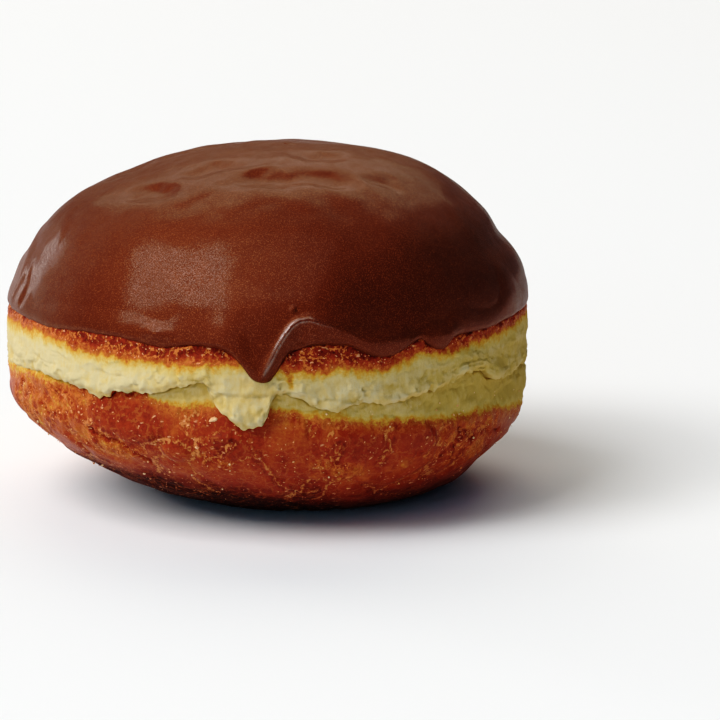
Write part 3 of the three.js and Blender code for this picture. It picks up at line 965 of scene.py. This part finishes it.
# The crest where the long drip's thick icing breaks off, from the tip up and to the right:
# bearing, height, and the width of the steep face below it
FOLD_CREST = [
    (-2.6, 27.6, 0.9), (-0.8, 29.4, 1.5), (0.6, 31.8, 2), (1.6, 33.6, 2.2), (3, 35.6, 2.4),
    (4.5, 37.2, 2.8), (6, 38, 3.4), (8, 38.2, 3.8), (10.5, 37.6, 3.4), (14, 36.8, 2.8),
    (18.5, 35.1, 2), (22.5, 33.4, 1.2), (26, 32, 0.6),
]
FOLD_RISE = 1.25
CREST_RISE = 0.38
CREST_WIDTH = 0.6

# Ridges and creases in the icing: rise, half width, then bearing and height of each point
ICING_FOLDS = [
    (-0.34, 1.6, [(-84, 47), (-73, 43.3), (-68, 39), (-69, 35.6)]),
    (0.34, 2.6, [(-92, 45), (-80, 42), (-75, 38.5), (-76, 35.6)]),
    (0.24, 2.6, [(-76, 50), (-66, 46.5), (-62, 42)]),
]

# Swells and hollows low in the icing: bearing, height, half length, half height, rise. None
# reaches farther to its sides than the widest, in degrees
WIDEST_SWELL = 15
ICING_SWELLS = [
    (-15.5, 36, 5.5, 4, -0.24), (-24, 35.3, 3.8, 1.9, 0.55), (4.6, 39.9, 0.9, 0.5, 0.35),
    (-62, 41, 9, 11, -0.3), (-72, 40, 9, 11, 0.32), (25, 34.6, 7, 2.6, 0.55),
    (33, 36.5, 4, 2.6, -0.35), (40, 34.6, 5, 2.6, 0.5), (56, 40, 8, 6, -0.35), (66, 39, 7, 7, 0.4),
    (121, 34, 7, 4, 0.7), (130, 36.8, 5, 3.4, -0.4), (163, 33.5, 6, 6, 0.9),
    (172, 37.5, 5, 3.4, -0.5), (213, 34, 7, 4, 0.7), (262, 38.5, 10, 4, 0.5),
]

# Hollows in the icing's top: x, y, half length, half width, turn in degrees, depth
TOP_DENTS = [
    (-19, -17.5, 9, 3.6, -38, 0.95), (-9, -13, 7, 4, 0, 0.85), (1.5, -20.5, 12.5, 5.2, 0, 1.05),
    (11.5, -20.5, 7, 3.8, 15, 0.6), (8.5, -10, 6.5, 3.5, 5, 0.6), (20, -17.5, 5, 3, 20, 0.4),
    (-10, 8, 11, 5, 25, 0.7), (17, 12, 12, 5, -30, 0.5), (-24, 6, 8, 5, 60, 0.7),
    (4, 25, 10, 5, 10, 0.7),
]

# Ridges between those hollows: rise, half width, then x and y of each point
TOP_RIDGES = [
    (0.15, 3.6, [(-6, -27.6), (-0.9, -27.6), (5.5, -27.4), (14.7, -25.6)]),
    (0.16, 2.4, [(-13.6, -25.4), (-10.1, -20.3), (-4.6, -19.2), (0.6, -14.5)]),
]


def icing_rows(bearing):
    """Arc and lift of every row at one bearing, from the underside's middle over the edge."""
    edge = round_the_waist(ICING_EDGE, bearing)[0]
    edge += ragged_edge(bearing, ((5.0, 0.25), (1.6, 0.14)), 20)
    tuck = arc_at_height(edge + 2.0)
    rows = []
    for i in range(ICING_INSIDE_ROWS):
        rows.append((mix(CROWN_ARC, tuck, i / (ICING_INSIDE_ROWS - 1)), -ICING_THICKNESS))
    rows.append((arc_at_height(edge + 0.5), -0.6))
    start = arc_at_height(edge)
    rows.append((start, -EDGE_SETTLED))
    for i in range(1, ICING_EDGE_ROWS + 1):
        turn = pi / 2 * i / ICING_EDGE_ROWS
        rows.append((start + 1 - cos(turn), sin(turn)))
    shoulder = rows[-1][0]
    for share in shares(ICING_ROWS):
        rows.append((mix(shoulder, CROWN_ARC, share ** ICING_CROWDING), 1.0))
    return rows, start


def top_dent(point):
    depth = 0.0
    for at_x, at_y, half_length, half_width, turn, deep in TOP_DENTS:
        ahead = cos(radians(turn))
        aside = sin(radians(turn))
        along = ((point.x - at_x) * ahead + (point.y - at_y) * aside) / half_length
        sideways = ((point.y - at_y) * ahead - (point.x - at_x) * aside) / half_width
        depth += deep * hump(hypot(along, sideways), 1)
    return depth


def top_ridge(point):
    flat = Vector((point.x, point.y))
    rise = 0.0
    for high, half_width, path in TOP_RIDGES:
        nearest = half_width
        for start, end in zip(path, path[1:]):
            along = Vector(end) - Vector(start)
            away = flat - Vector(start)
            share = clamp(away.dot(along) / along.length_squared)
            nearest = min(nearest, (away - share * along).length)
        rise += high * hump(nearest, half_width)
    return rise


def drip_fold(bearing, height):
    """Rise of the thick icing that ends at the crest, and of the crest's own bead."""
    gap = bearing_gap(bearing, 0)
    if not -26 < gap < 30 or height > 54:
        return 0.0, 0.0
    legs = [(*from_leg(bearing, height, *leg), *leg) for leg in zip(FOLD_CREST, FOLD_CREST[1:])]
    distance, share, left, start, end = min(legs, key=lambda leg: leg[0])
    inner = distance if left else -distance
    crest_at = mix(start[0], end[0], share)
    width = mix(start[2], end[2], share)
    thick = smoothstep(gap, -24, -5) * (1 - smoothstep(gap, 9, 28))
    thick *= 1 - smoothstep(height, 37, 52)
    fall = clamp((0.3 - inner) / (width + 0.3)) ** 1.3
    bead = exp(-((inner - 0.1) / CREST_WIDTH) ** 2)
    bead *= smoothstep(crest_at, -2.5, 0.5) * (1 - smoothstep(crest_at, 7, 20))
    return FOLD_RISE * thick * (1 - fall), bead


def icing_swell(bearing, height):
    rise = 0.0
    for swell, reach in patches_near(bearing, height, ICING_SWELLS, WIDEST_SWELL, 0):
        rise += swell[4] * hump(reach, 1)
    return rise


def shape_icing(shell):
    crest_of = shell.verts.layers.float.new("crest")
    bearings = [bearing_of(column, ICING_COLUMNS) for column in range(ICING_COLUMNS)]
    columns = [icing_rows(bearing) for bearing in bearings]
    folds = [(rise, width, boxed([path])) for rise, width, path in ICING_FOLDS]
    outer = ICING_INSIDE_ROWS + 2
    for vert in shell.verts:
        column, row = column_and_row(vert, ICING_SHELL_ROWS, ICING_COLUMNS)
        rows, start = columns[column]
        arc, lift = rows[row]
        bearing = bearings[column]
        if row >= outer:
            height = profile_at(arc)[1]
            top = ICING_BEAD * (1 - smoothstep(arc - start, 1.5, 6.0))
            fold, crest = drip_fold(bearing, height)
            top += fold + CREST_RISE * crest + icing_swell(bearing, height)
            for rise, width, boxes in folds:
                top += rise * hump(nearest_path(bearing, height, boxes, width), width)
            top = max(top, 0.1)
            point = place(bearing, arc)
            high = smoothstep(point.z, 47, 54)
            wander = noise.noise_vector(point / 6.0) * 1.8 + noise.noise_vector(point / 2.5) * 0.8
            if high > 0:
                top += (top_ridge(point + wander) - top_dent(point + wander)) * high
            top += (0.18 + 0.16 * high) * relief(point, 13.0)
            top += (0.07 + 0.10 * high) * relief(point, 5.0, 9.0)
            vert[crest_of] = crest
            lift = mix(-EDGE_SETTLED, top, lift)
        vert.co = place(bearing, arc, lift)


ICING_BROWN = display(70, 34, 22)
ICING_RED = display(64, 29, 18)
# Lighter grains, partly the icing's sugary grain and partly painted glints
ICING_GRAIN_AND_GLINTS = display(146, 86, 52)
SATIN_BROWN = (1.0, 0.28, 0.11, 1.0)

# The icing's grain and its breaks in sheen: size in millimetres, detail and roughness
ICING_CLOUDS = (9.0, 3.0)
ICING_SPECKLE = (0.19, 2.0, 0.6)
ICING_DULL_SPOTS = (2.5, 4.0, 0.6)
CREST_BREAKS = (0.5, 3.0, 0.7)
COAT_ROUGHNESS = 0.09
COAT_IOR = 1.9


def icing_material():
    material, surface, where = new_material("chocolate_icing")
    cloud = add_range(add_noise(where, *ICING_CLOUDS), 0.35, 0.65)
    colour = add_mix(cloud, ICING_RED, ICING_BROWN)
    grain = add_noise(where, *ICING_SPECKLE)
    # Lighter grains: the icing's own grain with painted glints
    grain_and_glint_share = add_range(grain, 0.50, 0.68, 0.0, 0.45)
    rough = add_noise(where, *ICING_DULL_SPOTS)
    crest = add_range(add_attribute(where, "crest"), 0.3, 0.95)
    broken = add_range(add_noise(where, *CREST_BREAKS), 0.30, 0.50, 0.2)
    glints = add_range(grain, 0.42, 0.66, 0.035, 0.19)
    feed(surface, {
        "Base Color": add_mix(grain_and_glint_share, colour, ICING_GRAIN_AND_GLINTS),
        "Roughness": add_range(rough, 0.3, 0.7, 0.52, 0.60),
        "Normal": add_bump(grain, 0.12, 0.55),
        "Specular IOR Level": 1.0,
        "Specular Tint": SATIN_BROWN,
        "Coat Weight": add_highest(add_product(crest, broken), glints),
        "Coat Normal": add_bump(grain, 0.05, 0.25),
        "Coat Roughness": COAT_ROUGHNESS,
        "Coat IOR": COAT_IOR,
    })
    return material


icing_shell = wrapped_sheet(ICING_SHELL_ROWS, ICING_COLUMNS)
shape_icing(icing_shell)
icing = finished_piece("chocolate_icing", icing_shell, icing_material())
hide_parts("icing")

# Crumbs.
# Flakes and grains of dough that the tear shed. They stick to the greasy crust, most of
# them just under the lip, and one larger flake lies to the left of the long flap.

CRUMB_SEED = 7
CRUMB_SHAPE_SEED = 3
random.seed(CRUMB_SEED)
CRUMB_COUNT = 300
CRUMB_SIZE = (0.08, 0.24)
CRUMB_TOP = 23.0
CRUMB_FALL = 19.0
LARGE_CRUMB = (-11.5, 21.4, 0.80)
LARGE_CRUMB_DEPTH = 0.55
LARGE_CRUMB_HEIGHT = 0.5
LARGE_CRUMB_TURN = -35
CRUMB_PATCHES = 3.0
CRUMB_TAN = display(216, 150, 98)
CRUMB_CREAM = display(232, 200, 156)
CRUMB_DULLNESS = 0.75


def crumb_place(bearing, height, size):
    lower = -blended_setback(bearing) * (1 - smoothstep(SEAM_HEIGHT - height, 0, SETBACK_FADE))
    return place(bearing, arc_at_height(height), lower + size * 0.25)


def shed_crumbs():
    crumbs = bmesh.new()
    large = bmesh.ops.create_icosphere(crumbs, subdivisions=3, radius=LARGE_CRUMB[2])["verts"]
    for vert in large:
        vert.co *= 1 + 0.5 * noise.noise(vert.co * 1.7)
        vert.co.y *= LARGE_CRUMB_DEPTH
        vert.co.z *= LARGE_CRUMB_HEIGHT
    turned = Matrix.Rotation(radians(LARGE_CRUMB_TURN), 3, "Y")
    bmesh.ops.rotate(crumbs, verts=large, matrix=turned, cent=(0, 0, 0))
    bmesh.ops.translate(crumbs, vec=crumb_place(*LARGE_CRUMB), verts=large)
    for i in range(CRUMB_COUNT):
        bearing = random.uniform(0, 360)
        height = CRUMB_TOP - CRUMB_FALL * random.random() ** 1.3
        size = mix(*CRUMB_SIZE, random.random() ** 2.5)
        lump = bmesh.ops.create_icosphere(crumbs, subdivisions=1, radius=size)["verts"]
        spin = noise.random_unit_vector()
        stretch = random.uniform(-0.4, 0.9)
        for vert in lump:
            vert.co += stretch * spin * vert.co.dot(spin)
        bmesh.ops.translate(crumbs, vec=crumb_place(bearing, height, size), verts=lump)
    return crumbs


def crumb_material():
    material, surface, where = new_material("crumbs")
    patchy = add_range(add_noise(where, CRUMB_PATCHES), 0.4, 0.6)
    colour = add_mix(patchy, CRUMB_TAN, CRUMB_CREAM)
    feed(surface, {"Base Color": colour, "Roughness": CRUMB_DULLNESS})
    return material


noise.seed_set(CRUMB_SHAPE_SEED)
crumb_piece = finished_piece("loose_crumbs", shed_crumbs(), crumb_material())

# Studio.
# A plain white surface under eight soft lights: large ones from the left, from behind and in
# front, a strip for the left rim, one seen in the sheen alone and three that only shade. The
# camera has a long lens and stands a little above the doughnut.

# The picture's contrast, as shares of full light before and after
TONE_CURVE = [(0.03, 0.008), (0.06, 0.027), (0.10, 0.072), (0.30, 0.30), (0.6, 0.63)]
view = bpy.context.scene.view_settings
view.view_transform = "Standard"
view.look = "None"
view.use_curve_mapping = True
for before, after in TONE_CURVE:
    view.curve_mapping.curves[3].points.new(before, after)
view.curve_mapping.update()

FLOOR_HALF_WIDTH = 6.0
FLOOR_WHITE = (0.88, 0.88, 0.88, 1)
floor_mesh = bmesh.new()
bmesh.ops.create_grid(floor_mesh, x_segments=1, y_segments=1, size=FLOOR_HALF_WIDTH)
floor_data = bpy.data.meshes.new("floor")
floor_mesh.to_mesh(floor_data)
floor_mesh.free()
floor = add_object("floor", floor_data)
floor_material, floor_surface, _ = new_material("white_surface")
floor_looks = {"Base Color": FLOOR_WHITE, "Roughness": 0.8, "Specular IOR Level": 0.1}
feed(floor_surface, floor_looks)
floor_data.materials.append(floor_material)

LAMP_DISTANCE = 6.0


def add_softbox(name, bearing, elevation, strength, size, colour, roll=0, sheen=True, shading=True):
    """A flat soft light from a bearing and a height, its width and height in degrees too."""
    light = bpy.data.lights.new(name, "AREA")
    light.shape = "RECTANGLE"
    light.size = 2 * LAMP_DISTANCE * tan(radians(size[0] / 2))
    light.size_y = 2 * LAMP_DISTANCE * tan(radians(size[1] / 2))
    light.energy = strength * pi * LAMP_DISTANCE ** 2
    light.color = colour
    turned = Matrix.Identity(3)
    for degrees, axis in ((bearing, "Z"), (90 - elevation, "X"), (roll, "Z")):
        turned = turned @ Matrix.Rotation(radians(degrees), 3, axis)
    lamp = add_object(name, light)
    lamp.rotation_euler = turned.to_euler()
    lamp.location = turned @ Vector((0, 0, LAMP_DISTANCE))
    lamp.visible_glossy = sheen
    lamp.visible_diffuse = shading


add_softbox("left_softbox", -65, 52, 2.2, (33, 43), (1, 1, 1), roll=35)
add_softbox("back_softbox", 174, 44, 1.1, (50, 40), (1, 0.89, 0.70))
add_softbox("rim_softbox", -138, 8, 0.45, (8, 26), (1, 0.98, 0.94))
add_softbox("front_softbox", -28, 38, 0.58, (52, 56), (1, 0.98, 0.95))
add_softbox("high_softbox", -4, 70, 0.66, (40, 40), (1, 0.9, 0.8), shading=False)
add_softbox("side_softbox", -70, 36, 0.95, (24, 20), (1, 1, 1), sheen=False)
add_softbox("rear_softbox", -155, 38, 0.5, (40, 30), (1, 0.96, 0.9), sheen=False)
add_softbox("front_fill", -20, 12, 0.55, (50, 18), (0.36, 0.70, 1), sheen=False)

ROOM_BLUE = (0.6, 0.9, 1.3, 1)
ROOM_STRENGTH = 0.08
world = bpy.data.worlds.new("room")
world.use_nodes = True
room = world.node_tree.nodes["Background"].inputs
room["Color"].default_value = ROOM_BLUE
room["Strength"].default_value = ROOM_STRENGTH
bpy.context.scene.world = world

CAMERA_ELEVATION = 11.24
CAMERA_DISTANCE = 600.0
CAMERA_LENS = 168.2
SENSOR_WIDTH = 36
# The photograph's width in pixels, and where in it the doughnut's axis and middle height lie
PICTURE_WIDTH = 720
AXIS_ACROSS = 267.05
MIDDLE_DOWN = 316.75
MIDDLE_HEIGHT = 30
FRAME_WIDTH = SENSOR_WIDTH * CAMERA_DISTANCE / CAMERA_LENS
look_right = FRAME_WIDTH * (PICTURE_WIDTH / 2 - AXIS_ACROSS) / PICTURE_WIDTH
look_down = FRAME_WIDTH * (PICTURE_WIDTH / 2 - MIDDLE_DOWN) / PICTURE_WIDTH
tilt = radians(CAMERA_ELEVATION)
eye_height = MIDDLE_HEIGHT + CAMERA_DISTANCE * sin(tilt)
eye = Vector((0, -CAMERA_DISTANCE * cos(tilt), eye_height))
target = Vector((look_right, 0, MIDDLE_HEIGHT - look_down / cos(tilt)))
camera_data = bpy.data.cameras.new("camera")
camera_data.sensor_width = SENSOR_WIDTH
camera_data.lens = CAMERA_LENS
camera_data.clip_start = 0.01
camera = add_object("camera", camera_data)
camera.location = eye * MM
camera.rotation_euler = (target - eye).to_track_quat("-Z", "Y").to_euler()
bpy.context.scene.camera = camera
